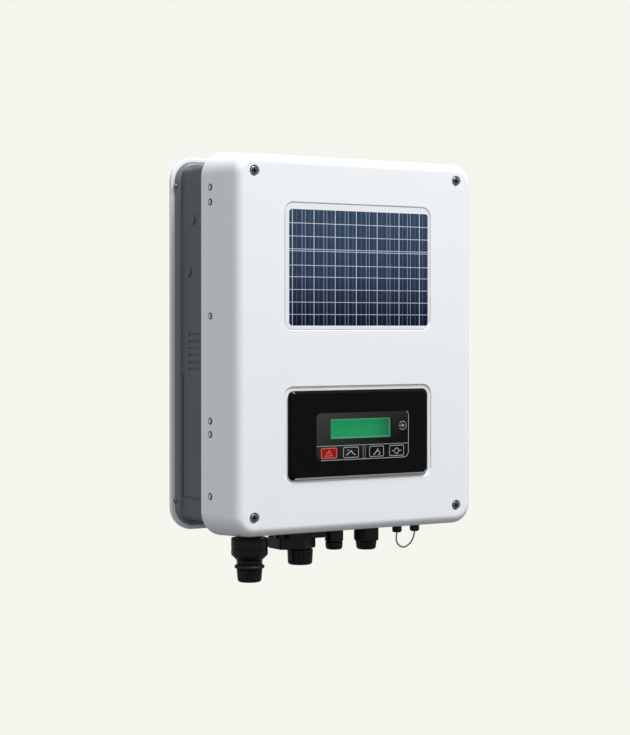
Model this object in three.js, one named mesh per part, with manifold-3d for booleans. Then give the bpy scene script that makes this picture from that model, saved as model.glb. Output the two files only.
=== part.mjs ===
// Wall-hung string inverter, modelled as the pieces it comes apart into on a bench.
// Millimetres. X runs to the right seen from the front, Y runs towards the wall, Z runs up.
// The origin is the centre of the wall bracket's back face, so the wall is the plane Y = 0.
import * as THREE from "three";
import Module from "manifold-3d";
import { mergeVertices } from "three/addons/utils/BufferGeometryUtils.js";

const wasm = await Module();
wasm.setup();

// Driving dimensions of the casing.
const bodyWidth = 270;
const bodyHeight = 350;
const wallGap = 1.5;
const panelDepth = 10.5;
const frameThickness = 3.5;
const frameWidth = 10;
const frameReveal = 4;
const neckDepth = 51.5;
const coverDepth = 56;
const coverDraft = 4.2;
const coverLowering = 1.2;
const cornerRadius = 23;
const innerCorner = cornerRadius - 4;
const frontFillet = 8.5;
const coverWall = 2.5;
const sheetSteel = 1.5;
const fitGap = 0.3;

// Planes across the depth, from the wall to the front.
const frameRear = -wallGap;
const frameFront = frameRear - frameThickness;
const panelRear = frameFront - fitGap;
const panelFront = frameRear - panelDepth;
const coverRear = panelFront - neckDepth;
const coverFront = coverRear - coverDepth;
const halfWidth = bodyWidth / 2;
const halfHeight = bodyHeight / 2;

// The dark neck between the rear panel and the cover.
const neckInsetX = 8;
const neckInsetZ = 11;
const neckHalfWidth = halfWidth - neckInsetX;
const neckHalfHeight = halfHeight - neckInsetZ;
const neckCorner = 5;
const basePlate = 6;
const baseFront = coverRear - basePlate;

// The chassis inside the cover.
const chassisFront = baseFront - fitGap - sheetSteel;
const chassisWallDepth = 26;
const trayHalfWidth = 124;
const boardThickness = 1.6;
const mainBoardRear = -84.6;
const mainBoardFront = mainBoardRear - boardThickness;
const controlBoardRear = -106;
const displayBoardRear = -111.2;

// The badge and the display on the cover's front.
const badge = { width: 163, height: 117, x: 0.5, z: 70.5, radius: 10 };
const panel = { width: 154, height: 81, x: 0.5, z: -82.7, radius: 6 };
const panelRecess = { width: 164, height: 88, x: 0.5, z: -81.8, radius: 10 };
const recessDepth = 1.2;
const panelProud = 2.5;
const panelChamfer = 3;
const screen = { width: 68, height: 17.4, x: 1.5, z: -77.7 };
const lampPlaces = [-34.5, -10.5, 17.9, 40.5];
const lampZ = -99.5;

// Fasteners of the cover and the rear panel.
const coverScrewX = 111.7;
const coverScrewZ = 154.7;
const counterboreDepth = 3;
const coverHeadSize = { headRadius: 4.4, headHeight: 2.1, shankRadius: 2.1, shankLength: 21 };
const panelHeadSize = { headRadius: 2.1, headHeight: 1.2, shankRadius: 1.1, shankLength: 5 };
const panelScrewY = -7.4;
const panelScrewZ = 147;

// Connectors through the plate under the casing.
const connectorY = -90.5;
const plateBottom = -170.5;
const plateThickness = 2;
const plateTop = plateBottom + plateThickness;
const plateHalfWidth = 110;
const plateFrontY = -110.2;
const notchHalfWidth = 110.6;
const notchDepth = 47;
const notchTop = -158;
const underPlate = plateBottom - fitGap;
const acX = -100;
const portX = -46;
const smallGlandX = -8.7;
const largeGlandX = 27.4;
const linkPlaces = { left: 62.9, right: 83.4 };
const linkBottom = -180.2;

const finish = (color, roughness, metalness = 0) =>
  new THREE.MeshStandardMaterial({ color, roughness, metalness });

const looks = {
  whitePaint: finish(0xe9edf0, 0.4),
  darkCasting: finish(0x4c5054, 0.6, 0.3),
  zincSteel: finish(0xb9bcc0, 0.4, 0.9),
  darkSteel: finish(0x54575b, 0.4, 0.9),
  blackNylon: finish(0x161718, 0.5),
  blackGloss: finish(0x0b0c0d, 0.1),
  blackRubber: finish(0x1b1b1c, 0.8),
  cellBlue: finish(0x22314f, 0.25),
  clearPane: finish(0x9fb5a8, 0.05),
  screenGreen: finish(0x2a9a62, 0.4),
  greenBoard: finish(0x1f5a3a, 0.5),
  copper: finish(0xb06a3a, 0.35, 0.9),
  capSleeve: finish(0x20242c, 0.4),
  relayBlue: finish(0x2b5f9e, 0.4),
  terminalGreen: finish(0x3f8a4a, 0.5),
  lampClear: finish(0xd9dcdc, 0.2),
  ribbonGrey: finish(0xa9abad, 0.5),
};

const inverter = new THREE.Group();

function place(name, geometry, material, x = 0, y = 0, z = 0) {
  const mesh = new THREE.Mesh(geometry, material);
  mesh.name = name;
  mesh.position.set(x, y, z);
  inverter.add(mesh);
  return mesh;
}

// Booleans: a closed geometry becomes a solid, and comes back as a geometry.
function toSolid(geometry) {
  const bare = geometry.clone();
  bare.deleteAttribute("normal");
  bare.deleteAttribute("uv");
  const merged = mergeVertices(bare, 1e-5);
  return new wasm.Manifold(new wasm.Mesh({
    numProp: 3,
    vertProperties: new Float32Array(merged.attributes.position.array),
    triVerts: new Uint32Array(merged.index.array),
  }));
}

function toGeometry(solid) {
  const mesh = solid.getMesh();
  const geometry = new THREE.BufferGeometry();
  geometry.setAttribute("position", new THREE.BufferAttribute(new Float32Array(mesh.vertProperties), 3));
  geometry.setIndex(new THREE.BufferAttribute(new Uint32Array(mesh.triVerts), 1));
  geometry.computeVertexNormals();
  return geometry;
}

const join = (first, ...others) =>
  toGeometry(others.reduce((solid, other) => solid.add(toSolid(other)), toSolid(first)));

const common = (first, second) => toGeometry(toSolid(first).intersect(toSolid(second)));

const cut = (first, ...cutters) =>
  toGeometry(cutters.reduce((solid, cutter) => solid.subtract(toSolid(cutter)), toSolid(first)));

// A box from its two corners.
function block(x0, x1, y0, y1, z0, z1) {
  const geometry = new THREE.BoxGeometry(x1 - x0, y1 - y0, z1 - z0);
  return geometry.translate((x0 + x1) / 2, (y0 + y1) / 2, (z0 + z1) / 2);
}

// A box on the left or right (side is -1 or 1), from its distances to the middle plane.
function sideBlock(side, inner, outer, y0, y1, z0, z1) {
  const xs = side < 0 ? [-outer, -inner] : [inner, outer];
  return block(xs[0], xs[1], y0, y1, z0, z1);
}

// The four places that mirror one place left to right and top to bottom.
const fourPlaces = (x, z) => [[-x, -z], [-x, z], [x, -z], [x, z]];

// A rod along X, Y or Z, between two places on that axis.
function rodX(radius, x0, x1, y, z, sides = 12) {
  const geometry = new THREE.CylinderGeometry(radius, radius, x1 - x0, sides);
  return geometry.rotateZ(Math.PI / 2).translate((x0 + x1) / 2, y, z);
}

function rodY(radius, y0, y1, x, z, sides = 16) {
  return new THREE.CylinderGeometry(radius, radius, y1 - y0, sides).translate(x, (y0 + y1) / 2, z);
}

function rodZ(radius, z0, z1, x, y, sides = 20) {
  const geometry = new THREE.CylinderGeometry(radius, radius, z1 - z0, sides);
  return geometry.rotateX(Math.PI / 2).translate(x, y, (z0 + z1) / 2);
}

// A turned piece standing on the Z axis, from [radius, z] points listed upwards.
function turnedZ(profile, sides = 24) {
  const points = profile.map(([radius, z]) => new THREE.Vector2(radius, z));
  return new THREE.LatheGeometry(points, sides).rotateX(Math.PI / 2);
}

// The corner points of a rounded rectangle in X and Z, anticlockwise seen from the front.
function roundedOutline(width, height, radius, steps = 5) {
  const points = [];
  for (let corner = 0; corner < 4; corner += 1) {
    const signX = corner === 0 || corner === 3 ? 1 : -1;
    const signZ = corner < 2 ? 1 : -1;
    const centreX = signX * (width / 2 - radius);
    const centreZ = signZ * (height / 2 - radius);
    for (let step = 0; step <= steps; step += 1) {
      const angle = (corner + step / steps) * Math.PI / 2;
      points.push([centreX + radius * Math.cos(angle), centreZ + radius * Math.sin(angle)]);
    }
  }
  return points;
}

// A closed body through rounded rectangles that follow each other from the wall towards the front.
function loft(rings) {
  const positions = [];
  const indices = [];
  const count = rings[0].outline.length;
  for (const ring of rings) {
    for (const [x, z] of ring.outline) {
      positions.push(x, ring.y, z);
    }
  }
  for (let level = 0; level + 1 < rings.length; level += 1) {
    for (let point = 0; point < count; point += 1) {
      const a = level * count + point;
      const b = level * count + (point + 1) % count;
      indices.push(a, b, a + count, b, b + count, a + count);
    }
  }
  const last = (rings.length - 1) * count;
  for (let point = 1; point + 1 < count; point += 1) {
    indices.push(0, point + 1, point);
    indices.push(last, last + point, last + point + 1);
  }
  const geometry = new THREE.BufferGeometry();
  geometry.setAttribute("position", new THREE.Float32BufferAttribute(positions, 3));
  geometry.setIndex(indices);
  return geometry;
}

// A plate with rounded corners lying across Y.
function roundedPlate(width, height, radius, y0, y1, x = 0, z = 0, steps = 5) {
  const outline = roundedOutline(width, height, radius, steps);
  return loft([{ y: y1, outline }, { y: y0, outline }]).translate(x, 0, z);
}

// Rings of a pan whose front edge is rounded; shrink pulls the whole pan inwards by a wall, and
// lowering takes some of the taper off the underside.
function panRings(rear, front, taper, fillet, shrink, lowering = 0) {
  const rings = [];
  const filletSteps = 3;
  const sideLength = rear - front - fillet;
  const ringAt = (y, inset) => {
    const width = bodyWidth - 2 * (shrink + inset);
    const height = bodyHeight - 2 * (shrink + inset);
    const lower = inset > 0 ? lowering : 0;
    const outline = roundedOutline(width, height + lower, Math.max(cornerRadius - shrink - inset, 2));
    return { y, outline: outline.map(([x, z]) => [x, z - lower / 2]) };
  };
  rings.push(ringAt(rear, 0));
  for (let step = 0; step <= filletSteps; step += 1) {
    const angle = step / filletSteps * Math.PI / 2;
    const y = rear - sideLength - fillet * Math.sin(angle);
    rings.push(ringAt(y, taper + fillet * (1 - Math.cos(angle))));
  }
  return rings;
}

function makeWallBracket() {
  const plateHalf = 80;
  const hookFoot = 80;
  const lipDepth = 6.5;
  const lipTop = 98;
  const plate = block(-plateHalf, plateHalf, -sheetSteel, 0, -100, hookFoot + sheetSteel);
  const web = block(-plateHalf, plateHalf, -lipDepth, 0, hookFoot, hookFoot + sheetSteel);
  const lip = block(-plateHalf, plateHalf, -lipDepth, sheetSteel - lipDepth, hookFoot, lipTop);
  const holes = [];
  for (const x of [-55, 0, 55]) {
    for (const z of [-80, 55]) {
      holes.push(rodY(3.5, -10, 10, x, z, 12));
    }
  }
  place("wall_bracket", cut(join(plate, web, lip), ...holes), looks.zincSteel);
}

// The rail on the back of the rear panel drops its tongue behind the bracket's lip.
function makeHangerRail() {
  const railHalf = 74;
  const flangeFront = panelFront + sheetSteel + fitGap;
  const tongueRear = -1.8;
  const webBottom = 98.3;
  const webTop = webBottom + sheetSteel;
  const flange = block(-railHalf, railHalf, flangeFront, flangeFront + sheetSteel, 84, 118);
  const web = block(-railHalf, railHalf, flangeFront, tongueRear, webBottom, webTop);
  const tongue = block(-railHalf, railHalf, tongueRear - sheetSteel, tongueRear, 86, webTop);
  place("hanger_rail", join(flange, web, tongue), looks.zincSteel);
}

// White frame that trims the wall side; its four tabs take the side screws of the rear panel.
function makeRearFrame() {
  const tab = { inner: halfWidth - frameWidth, outer: 128, front: -9.2, bottom: 136, top: 148.5 };
  const plate = loft(panRings(frameRear, frameFront, 0, 1.5, 0));
  const opening = roundedPlate(bodyWidth - 2 * frameWidth, bodyHeight - 2 * frameWidth,
    cornerRadius - frameWidth, frameFront - 1, frameRear + 1);
  const tabs = [];
  for (const side of [-1, 1]) {
    for (const level of [-1, 1]) {
      const [low, high] = level < 0 ? [-tab.top, -tab.bottom] : [tab.bottom, tab.top];
      tabs.push(sideBlock(side, tab.inner, tab.outer, tab.front, frameFront + 0.5, low, high));
    }
  }
  place("rear_frame", cut(join(cut(plate, opening), ...tabs), ...sideBores(1.3)), looks.whitePaint);
}

// Cutters for the four side screws, which lie along X.
function sideBores(radius) {
  return fourPlaces(halfWidth, panelScrewZ).map(([x, z]) => rodX(radius, x - 15, x + 15, panelScrewY, z));
}

// Dark pressed pan that closes the fins towards the wall.
function makeRearPanel() {
  const edgeFillet = 4.5;
  const outer = loft(panRings(panelRear, panelFront, 0, edgeFillet, frameReveal));
  const inner = loft(panRings(panelRear + 5, panelFront + sheetSteel, 0, edgeFillet - sheetSteel,
    frameReveal + sheetSteel));
  place("rear_panel", cut(outer, inner, ...sideBores(1.4)), looks.darkCasting);
}

// Pan-head screw along Y with a cross slot; its head faces the front.
function screwGeometry({ headRadius, headHeight, shankRadius, shankLength }) {
  const profile = [
    [0, -shankLength],
    [shankRadius, -shankLength],
    [shankRadius, 0],
    [headRadius, 0],
    [headRadius, headHeight * 0.5],
    [headRadius * 0.72, headHeight],
    [0, headHeight],
  ];
  const turned = turnedZ(profile, 12);
  const halfSlot = headRadius * 0.14;
  const halfLength = headRadius * 0.55;
  const floor = headHeight * 0.45;
  const slotAcross = block(-halfLength, halfLength, -halfSlot, halfSlot, floor, headHeight + 1);
  const slotUp = block(-halfSlot, halfSlot, -halfLength, halfLength, floor, headHeight + 1);
  return cut(turned, slotAcross, slotUp).rotateX(Math.PI / 2);
}

function makePanelScrews() {
  const seatX = halfWidth - frameReveal + fitGap;
  for (const [side, sign] of [["left", -1], ["right", 1]]) {
    const geometry = screwGeometry(panelHeadSize).rotateZ(sign * Math.PI / 2);
    for (const [level, z] of [["top", panelScrewZ], ["bottom", -panelScrewZ]]) {
      place(`panel_screw_${level}_${side}`, geometry, looks.darkSteel, sign * seatX, panelScrewY, z);
    }
  }
}

// Cast heatsink: a base plate with upright fins whose outermost pair are the neck's side walls.
function makeHeatsink() {
  const wall = 3;
  const fin = 2.4;
  const finRoot = coverRear - 0.5;
  const finTip = panelFront - fitGap;
  const finCount = 15;
  const bossRadius = 4.6;
  const bossProud = 1.2;
  const inner = neckHalfWidth - wall;
  const [low, high] = [-neckHalfHeight, neckHalfHeight];
  const pieces = [block(-neckHalfWidth, neckHalfWidth, baseFront, coverRear, low, high)];
  for (const side of [-1, 1]) {
    pieces.push(sideBlock(side, inner, neckHalfWidth, finRoot, finTip, low, high));
  }
  const pitch = 2 * inner / (finCount + 1);
  for (let index = 1; index <= finCount; index += 1) {
    const x = -inner + index * pitch;
    pieces.push(block(x - fin / 2, x + fin / 2, finRoot, finTip - 1, low, high));
  }
  const bosses = [[-33, 115], [-25.5, 67]].map(([y, z]) =>
    rodX(bossRadius, -neckHalfWidth - bossProud, -neckHalfWidth + bossProud, y, z, 20));
  const outline = roundedPlate(2 * neckHalfWidth, 2 * neckHalfHeight, neckCorner,
    baseFront - 1, finTip + 1);
  const casting = join(common(join(...pieces), outline), ...bosses);
  place("heatsink", cut(casting, ...neckCutters()), looks.darkCasting);
}

// Shallow louvre grooves and the outline groove of the lower field on the neck's side walls.
function neckCutters() {
  const cutters = [];
  const slotCount = 6;
  const slotPitch = 6.4;
  const topSlotZ = 8.5;
  const halfSlot = 1.2;
  const grooveDepth = 0.8;
  const inner = neckHalfWidth - grooveDepth;
  const outer = neckHalfWidth + grooveDepth;
  for (const side of [-1, 1]) {
    for (let slot = 0; slot < slotCount; slot += 1) {
      const z = topSlotZ - slot * slotPitch;
      cutters.push(sideBlock(side, inner, outer, -56, -25.2, z - halfSlot, z + halfSlot));
    }
    cutters.push(sideBlock(side, inner, outer, -15.4, -13.6, -142.4, -28.4));
    cutters.push(sideBlock(side, inner, outer, -60, -13.6, -143.6, -142));
  }
  return cutters;
}

// Steel tray in front of the heatsink: floor, side walls, board stand-offs and cover screw pillars.
function makeChassisTray() {
  const floorRear = baseFront - fitGap;
  const floor = roundedPlate(262, 342, innerCorner, chassisFront, floorRear);
  const pieces = [-1, 1].map((side) => sideBlock(side, trayHalfWidth - sheetSteel, trayHalfWidth,
    chassisFront - chassisWallDepth, chassisFront + 0.5, -150, 150));
  for (const x of [-104, 0, 104]) {
    for (const z of [-112, 112]) {
      pieces.push(rodY(3.5, mainBoardRear + fitGap, chassisFront + 0.5, x, z, 12));
    }
  }
  const moduleWindow = block(-42, 42, -80, -60, -52, 6);
  const screwBores = [];
  for (const [x, z] of fourPlaces(coverScrewX, coverScrewZ)) {
    pieces.push(rodY(4.5, -106, chassisFront + 0.5, x, z, 16));
    screwBores.push(rodY(2.6, -110, -92, x, z, 12));
  }
  place("chassis_tray", cut(join(floor, ...pieces), moduleWindow, ...screwBores), looks.zincSteel);
}

// Rubber ring that the cover's rear edge closes round.
function makeCoverSeal() {
  const outer = roundedPlate(262, 342, innerCorner, baseFront + 0.2, coverRear - 1.5);
  const hollow = roundedPlate(2 * neckHalfWidth + 1, 2 * neckHalfHeight + 1, neckCorner + 0.5, -80, -50);
  place("cover_seal", cut(outer, hollow), looks.blackRubber);
}

function makeConnectorPlate() {
  const rear = chassisFront - fitGap;
  const flangeHalf = plateHalfWidth - 14;
  const plate = block(-plateHalfWidth, plateHalfWidth, plateFrontY, rear, plateBottom, plateTop);
  const flange = block(-flangeHalf, flangeHalf, rear - plateThickness, rear, plateBottom, notchTop);
  const holes = [
    rodZ(8.3, -180, -160, acX, connectorY),
    rodZ(11.3, -180, -160, portX, connectorY),
    rodZ(6.3, -180, -160, smallGlandX, connectorY),
    rodZ(8.3, -180, -160, largeGlandX, connectorY),
    rodZ(3.3, -180, -160, linkPlaces.left, connectorY, 16),
    rodZ(3.3, -180, -160, linkPlaces.right, connectorY, 16),
  ];
  place("connector_plate", cut(join(plate, flange), ...holes), looks.whitePaint);
}

// Front cover: a drafted shell with a rounded front, two recesses, the screw seats and the
// notch in its lower skirt that lets it slide forwards past the connector plate.
function makeFrontCover() {
  const outer = loft(panRings(coverRear, coverFront, coverDraft, frontFillet, 0, coverLowering));
  const innerFront = coverFront + coverWall;
  const innerFillet = frontFillet - coverWall;
  const innerRings = panRings(coverRear, innerFront, coverDraft, innerFillet, coverWall, coverLowering);
  innerRings.unshift({ y: coverRear + 5, outline: innerRings[0].outline });
  const cutterFront = coverFront - 5;
  const recess = ({ width, height, radius, x, z }) =>
    roundedPlate(width, height, radius, cutterFront, coverFront + recessDepth, x, z);
  const cutters = [
    recess(badge),
    recess(panelRecess),
    roundedPlate(112, 56, 4, cutterFront, coverFront + 10, panel.x, panel.z - 1),
    block(-notchHalfWidth, notchHalfWidth, coverRear - notchDepth, coverRear + 5, -halfHeight - 5, notchTop),
  ];
  const seats = [];
  for (const [x, z] of fourPlaces(coverScrewX, coverScrewZ)) {
    seats.push(rodY(7, coverFront + 1, coverFront + 12, x, z, 20));
    cutters.push(rodY(5, cutterFront, coverFront + counterboreDepth, x, z, 20));
    cutters.push(rodY(2.4, cutterFront, coverFront + 20, x, z, 16));
  }
  const shell = cut(outer, loft(innerRings));
  place("front_cover", cut(join(shell, ...seats), ...cutters), looks.whitePaint);
}

function makeCoverScrews() {
  const geometry = screwGeometry(coverHeadSize);
  for (const [side, x] of [["left", -coverScrewX], ["right", coverScrewX]]) {
    for (const [level, z] of [["top", coverScrewZ], ["bottom", -coverScrewZ]]) {
      place(`cover_screw_${level}_${side}`, geometry, looks.darkSteel,
        x, coverFront + counterboreDepth - fitGap, z);
    }
  }
}

// Bars riveted inside the skirt; they guide the cover over the chassis walls.
function makeGuideStrips() {
  for (const [name, side] of [["left", -1], ["right", 1]]) {
    place(`guide_strip_${name}`, sideBlock(side, 126.5, 129.5, -86, -72, -143, 143), looks.zincSteel);
  }
}

function makeBadge() {
  const margin = 0.6;
  const plate = roundedPlate(badge.width - 2 * margin, badge.height - 2 * margin, badge.radius - margin,
    coverFront + 0.3, coverFront + recessDepth - fitGap, badge.x, badge.z);
  place("badge_plate", plate, looks.cellBlue);
}

// The display's black front: a chamfered lens moulding with a slot for the clear pane.
function makeDisplayPanel() {
  const front = coverFront - panelProud;
  const rear = coverFront + recessDepth - fitGap;
  const levels = [[rear, 0], [coverFront - 0.3, 0], [front + 0.4, panelChamfer - 0.6], [front, panelChamfer]];
  const body = loft(levels.map(([y, inset]) => {
    const width = panel.width - 2 * inset;
    const height = panel.height - 2 * inset;
    return { y, outline: roundedOutline(width, height, panel.radius - inset * 0.5) };
  }));
  body.translate(panel.x, 0, panel.z);
  const screenPlate = (clearance, radius, y0, y1) => roundedPlate(
    screen.width + clearance, screen.height + clearance, radius, y0, y1, screen.x, screen.z, 3);
  const slot = screenPlate(1, 0.8, front - 5, rear + 5);
  place("display_panel", cut(body, slot), looks.blackGloss);
  place("lcd_window", screenPlate(0.4, 0.6, front + 0.2, front + 2), looks.clearPane);
}

// The display's electronics on a bridge between the chassis walls.
function makeDisplayElectronics() {
  const stripFront = displayBoardRear + fitGap;
  const legX = trayHalfWidth - sheetSteel - fitGap;
  const strip = block(-legX, legX, stripFront, stripFront + sheetSteel, -108, -66);
  const legs = [-1, 1].map((side) => sideBlock(side, legX - sheetSteel, legX, stripFront, -82, -104, -70));
  place("display_bracket", join(strip, ...legs), looks.zincSteel);
  const boardFront = displayBoardRear - boardThickness;
  place("display_board", block(-56, 59, boardFront, displayBoardRear, -109, -60), looks.greenBoard);
  const onBoard = boardFront - fitGap;
  const [halfModule, halfModuleHeight] = [40, 13];
  const module = block(screen.x - halfModule, screen.x + halfModule, onBoard - 4.6, onBoard,
    screen.z - halfModuleHeight, screen.z + halfModuleHeight);
  place("lcd_module", module, looks.screenGreen);
  lampPlaces.forEach((x, index) => {
    const guide = block(x - 7.5, x + 7.5, onBoard - 4.2, onBoard, lampZ - 4.6, lampZ + 4.6);
    place(`status_lamp_${index + 1}`, guide, looks.lampClear);
  });
}

// Main board, the power module behind it and the control board with its pin header.
function makeBoards() {
  place("main_board", block(-112, 112, mainBoardFront, mainBoardRear, -122, 122), looks.greenBoard);
  const moduleFront = mainBoardRear + fitGap;
  place("power_module", block(-36, 36, moduleFront, baseFront - fitGap, -46, 0), looks.blackNylon);
  const controlFront = controlBoardRear - boardThickness;
  const board = block(38, 112, controlFront, controlBoardRear, -52, 40);
  const header = block(44, 52, controlBoardRear - 0.5, mainBoardFront - fitGap, -48, 36);
  place("control_board", join(board, header), looks.greenBoard);
}

// Capacitors, ring chokes, relays, transformer and terminals on the main board.
function makeBoardParts() {
  const seat = mainBoardFront - fitGap;
  for (let index = 0; index < 4; index += 1) {
    const can = new THREE.LatheGeometry([
      new THREE.Vector2(0, 0),
      new THREE.Vector2(12.5, 0),
      new THREE.Vector2(12.5, 26),
      new THREE.Vector2(11.3, 27.5),
      new THREE.Vector2(0, 27.5),
    ], 18).rotateX(Math.PI);
    place(`link_capacitor_${index + 1}`, can, looks.capSleeve, -6 + index * 30, seat, 92);
  }
  const rings = [
    ["boost_choke", -78, 84, 26, 24],
    ["output_choke", -78, 24, 26, 24],
    ["filter_choke", -82, -34, 19, 18],
  ];
  for (const [name, x, z, radius, height] of rings) {
    const bore = radius * 0.38;
    const edge = 3;
    const ring = new THREE.LatheGeometry([
      new THREE.Vector2(bore + edge, 0),
      new THREE.Vector2(radius - edge, 0),
      new THREE.Vector2(radius, edge),
      new THREE.Vector2(radius, height - edge),
      new THREE.Vector2(radius - edge, height),
      new THREE.Vector2(bore + edge, height),
      new THREE.Vector2(bore, height - edge),
      new THREE.Vector2(bore, edge),
      new THREE.Vector2(bore + edge, 0),
    ], 20).rotateX(Math.PI);
    place(name, ring, looks.copper, x, seat, z);
  }
  place("relay_1", block(-30, -1, seat - 20, seat, -92, -72), looks.relayBlue);
  place("relay_2", block(4, 33, seat - 20, seat, -92, -72), looks.relayBlue);
  place("transformer", block(-32, 2, seat - 24, seat, 22, 54), looks.capSleeve);
  place("ac_terminal", block(-104, -62, seat - 18, seat, -118, -98), looks.terminalGreen);
  place("dc_terminal", block(48, 96, seat - 18, seat, -118, -98), looks.terminalGreen);
}

// Flat cable from the display board up to the control board, held at both ends.
function makeRibbonCable() {
  const x = 66;
  const path = new THREE.CatmullRomCurve3([
    new THREE.Vector3(x, -111.9, -59.6),
    new THREE.Vector3(x, -112.2, -54),
    new THREE.Vector3(x, -113.4, -46),
    new THREE.Vector3(x, -112.6, -36),
    new THREE.Vector3(x, -109.6, -28),
    new THREE.Vector3(x, -108.2, -22),
  ]);
  const section = new THREE.Shape();
  section.moveTo(-8, -0.5);
  section.lineTo(8, -0.5);
  section.lineTo(8, 0.5);
  section.lineTo(-8, 0.5);
  section.closePath();
  const sweep = { steps: 16, bevelEnabled: false, extrudePath: path };
  place("ribbon_cable", new THREE.ExtrudeGeometry(section, sweep), looks.ribbonGrey);
}

// A hexagonal lock nut inside the connector plate.
function lockNut(name, x, acrossFlats, bore) {
  const radius = acrossFlats / Math.sqrt(3);
  const nut = cut(rodZ(radius, plateTop + fitGap, plateTop + 5, x, connectorY, 6),
    rodZ(bore, plateTop - 5, plateTop + 10, x, connectorY, 20));
  place(name, nut, looks.blackNylon);
}

// Mains connector: fixed socket, plug shell with its sealing ring, and the clamping nut.
function makeMainsConnector() {
  const socketTop = plateTop + 9;
  const socket = turnedZ([
    [0, -187],
    [11.6, -187],
    [11.6, -176.4],
    [16.7, -176.4],
    [16.7, -175.4],
    [9.8, -175.4],
    [9.8, underPlate],
    [8, underPlate],
    [8, socketTop],
    [0, socketTop],
  ]);
  place("ac_socket", socket, looks.blackNylon, acX, connectorY, 0);
  const shell = turnedZ([
    [0, -202],
    [10.9, -202],
    [10.9, -200.2],
    [11.8, -199],
    [11.8, -195.4],
    [16.7, -190.4],
    [16.7, -176.7],
    [12.2, -176.7],
    [12.2, -187.4],
    [0, -187.4],
  ]);
  const threaded = join(shell, rodZ(8.3, -209, -201, 0, 0));
  place("ac_plug_shell", threaded, looks.blackNylon, acX, connectorY, 0);
  const ringCentre = -201.2;
  const ring = turnedZ([
    [11.2, ringCentre - 1],
    [12.9, ringCentre - 1.9],
    [13.7, ringCentre - 1],
    [13.7, ringCentre + 0.6],
    [12.9, ringCentre + 1.5],
    [11.2, ringCentre + 1],
    [11.2, ringCentre - 1],
  ]);
  place("ac_plug_seal", ring, looks.blackRubber, acX, connectorY, 0);
  const nut = clampNut(-215.1, -203.4, 10.7, 11.7, 8.6, -209.3);
  place("ac_plug_nut", nut, looks.blackNylon, acX, connectorY, 0);
}

// Domed clamping nut: a tapered ring, ribbed all round, closed by a blanking disc below.
function clampNut(bottom, top, bottomRadius, topRadius, bore, boreFloor) {
  return turnedZ([
    [0, bottom + 1.2],
    [bottomRadius * 0.6, bottom + 1.2],
    [bottomRadius * 0.66, bottom],
    [bottomRadius - 0.8, bottom],
    [bottomRadius, bottom + 0.8],
    [topRadius, top],
    [bore, top],
    [bore, boreFloor],
    [0, boreFloor],
  ], 20);
}

// Communication port: oblong flange, a hexagonal body set back from the screw cap, and the cap.
function makePort() {
  const flangeBottom = -178.3;
  const bodyOffset = { x: -4.5, y: 7.5 };
  const lobe = (x) => rodZ(7, flangeBottom, underPlate, x, 0, 20);
  const flange = join(block(-20, 20, -14, 14, flangeBottom, underPlate), lobe(-20), lobe(20));
  const body = rodZ(22.4, flangeBottom - 10, flangeBottom + 1, bodyOffset.x, bodyOffset.y, 6);
  const shank = rodZ(11, underPlate - 1, plateTop + 9, 0, 0);
  const stub = rodZ(8.4, -196, -188, 0, 0);
  place("port_base", join(flange, body, shank, stub), looks.blackNylon, portX, connectorY, 0);
  const cap = clampNut(-202.9, -188.9, 11.2, 11.9, 8.7, -196.3);
  place("port_cap", cap, looks.blackNylon, portX, connectorY, 0);
}

// Cable glands: body with its thread through the plate, and the domed nut.
function makeGland(size, x, bodyRadius, bodySides, nutTop, nutBottom, nutRadii, threadRadius) {
  const body = rodZ(bodyRadius, nutTop + fitGap, underPlate, 0, 0, bodySides);
  const thread = rodZ(threadRadius, underPlate - 1, plateTop + 8, 0, 0, 20);
  const stubRadius = nutRadii[0] * 0.68;
  const stub = rodZ(stubRadius, nutTop - 4.5, nutTop + 1, 0, 0, 20);
  place(`${size}_gland_body`, join(body, thread, stub), looks.blackNylon, x, connectorY, 0);
  const nut = clampNut(nutBottom, nutTop, nutRadii[1], nutRadii[0], stubRadius + fitGap, nutTop - 4.8);
  place(`${size}_gland_nut`, nut, looks.blackNylon, x, connectorY, 0);
}

// Two insulated bushes joined by a bare wire loop.
function makeLink() {
  for (const [side, x] of Object.entries(linkPlaces)) {
    const bush = turnedZ([
      [0, linkBottom],
      [3.8, linkBottom],
      [4.6, linkBottom + 1.2],
      [4.6, underPlate],
      [3, underPlate],
      [3, plateTop + 6],
      [0, plateTop + 6],
    ], 20);
    place(`link_bush_${side}`, bush, looks.blackNylon, x, connectorY, 0);
  }
  const top = linkBottom - fitGap;
  const sag = [[-0.7, -3.9], [-0.5, -7.9], [1.6, -11.5], [4.4, -13.5], [7.5, -14.4],
    [11.3, -13.6], [15.2, -11.1], [18.1, -7.7], [19.9, -3.7]];
  const path = new THREE.CatmullRomCurve3([
    new THREE.Vector3(linkPlaces.left, connectorY, top),
    ...sag.map(([across, drop]) => new THREE.Vector3(linkPlaces.left + across, connectorY, top + drop)),
    new THREE.Vector3(linkPlaces.right, connectorY, top),
  ]);
  const section = new THREE.Shape();
  section.absarc(0, 0, 0.75, 0, 2 * Math.PI);
  const wire = new THREE.ExtrudeGeometry(section, {
    steps: 22,
    curveSegments: 4,
    bevelEnabled: false,
    extrudePath: path,
  });
  place("link_wire", wire, looks.zincSteel);
}

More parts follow.
